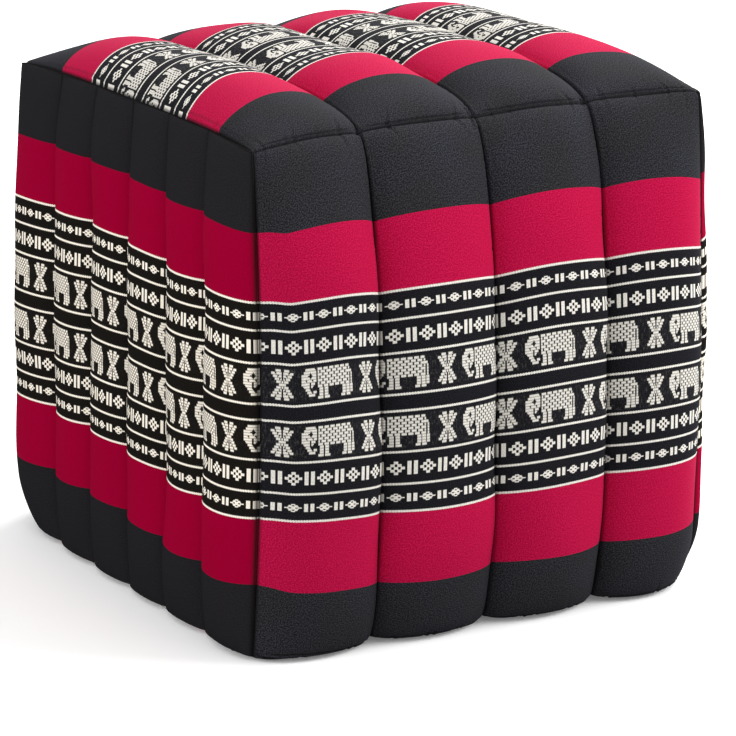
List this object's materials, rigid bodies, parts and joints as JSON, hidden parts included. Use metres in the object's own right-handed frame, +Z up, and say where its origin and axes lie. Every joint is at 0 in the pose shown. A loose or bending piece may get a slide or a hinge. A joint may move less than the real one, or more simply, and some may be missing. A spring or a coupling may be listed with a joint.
{
  "type": "cube pouf",
  "caption": "Firmly stuffed cube pouf with wide rounded chambers side by side, narrow upright quilted channels on two faces and woven bands of elephant motifs.",
  "frame": {"origin": "centre of the footprint, on the floor the pouf stands on", "axes": "+Z up; -Y is the front, where the wide channels run up and on over the top; the quilted side panels face -X and +X"},
  "size_m": [0.379, 0.4205, 0.3742],
  "materials": {
    "lobe_1_cloth": "woven, matt with a faint sheen, black with ivory figures between red borders",
    "lobe_2_cloth": "woven, matt with a faint sheen, black with ivory figures between red borders",
    "lobe_3_cloth": "woven, matt with a faint sheen, black with ivory figures between red borders",
    "lobe_4_cloth": "woven, matt with a faint sheen, black with ivory figures between red borders",
    "side_panel_left_cloth": "woven, matt, quilted in upright channels, black with ivory figures between red borders",
    "side_panel_right_cloth": "woven, matt, quilted in upright channels, black with ivory figures between red borders"
  },
  "bodies": {
    "root": {"lobe_1": "lobe_1_cloth", "lobe_2": "lobe_2_cloth", "lobe_3": "lobe_3_cloth", "lobe_4": "lobe_4_cloth", "side_panel_left": "side_panel_left_cloth", "side_panel_right": "side_panel_right_cloth"}
  },
  "joints": []
}
